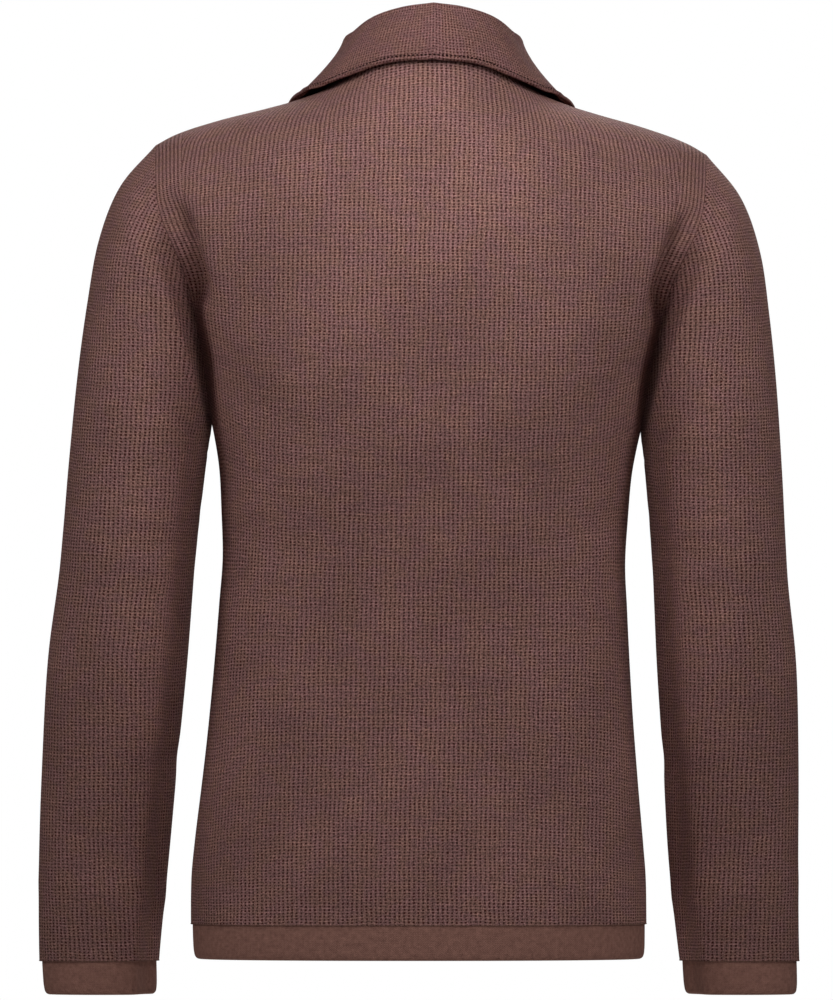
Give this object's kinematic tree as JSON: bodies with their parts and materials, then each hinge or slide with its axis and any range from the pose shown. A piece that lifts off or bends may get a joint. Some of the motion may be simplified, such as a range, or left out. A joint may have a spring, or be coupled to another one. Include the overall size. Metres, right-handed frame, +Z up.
{
  "type": "cardigan",
  "caption": "Long-sleeved knitted cardigan with a folded shawl collar and a buttoned front, filled out as it is worn, with open neck, hem and cuffs.",
  "frame": {"origin": "the middle of the neck at shoulder height, where the wearer carries the garment", "axes": "+X to the wearer's left, -Y to the front, +Z up"},
  "size_m": [0.5864, 0.2536, 0.7632],
  "materials": {
    "tuck_knit": "matte brown tuck-stitch wool knit",
    "jersey_band": "matte brown plain jersey knit",
    "collar_knit": "matte brown fine tuck-stitch knit",
    "horn_button": "dark satin horn"
  },
  "bodies": {
    "root": {"back": "tuck_knit", "front_left": "tuck_knit", "front_right": "tuck_knit", "sleeve_left": "tuck_knit", "sleeve_right": "tuck_knit", "hem_back": "jersey_band", "hem_front_left": "jersey_band", "hem_front_right": "jersey_band", "cuff_left": "jersey_band", "cuff_right": "jersey_band", "shawl_collar": "collar_knit", "buttonhole_band": "collar_knit", "button_band": "collar_knit", "button_1": "horn_button", "button_2": "horn_button", "button_3": "horn_button", "button_4": "horn_button", "button_5": "horn_button"}
  },
  "joints": []
}
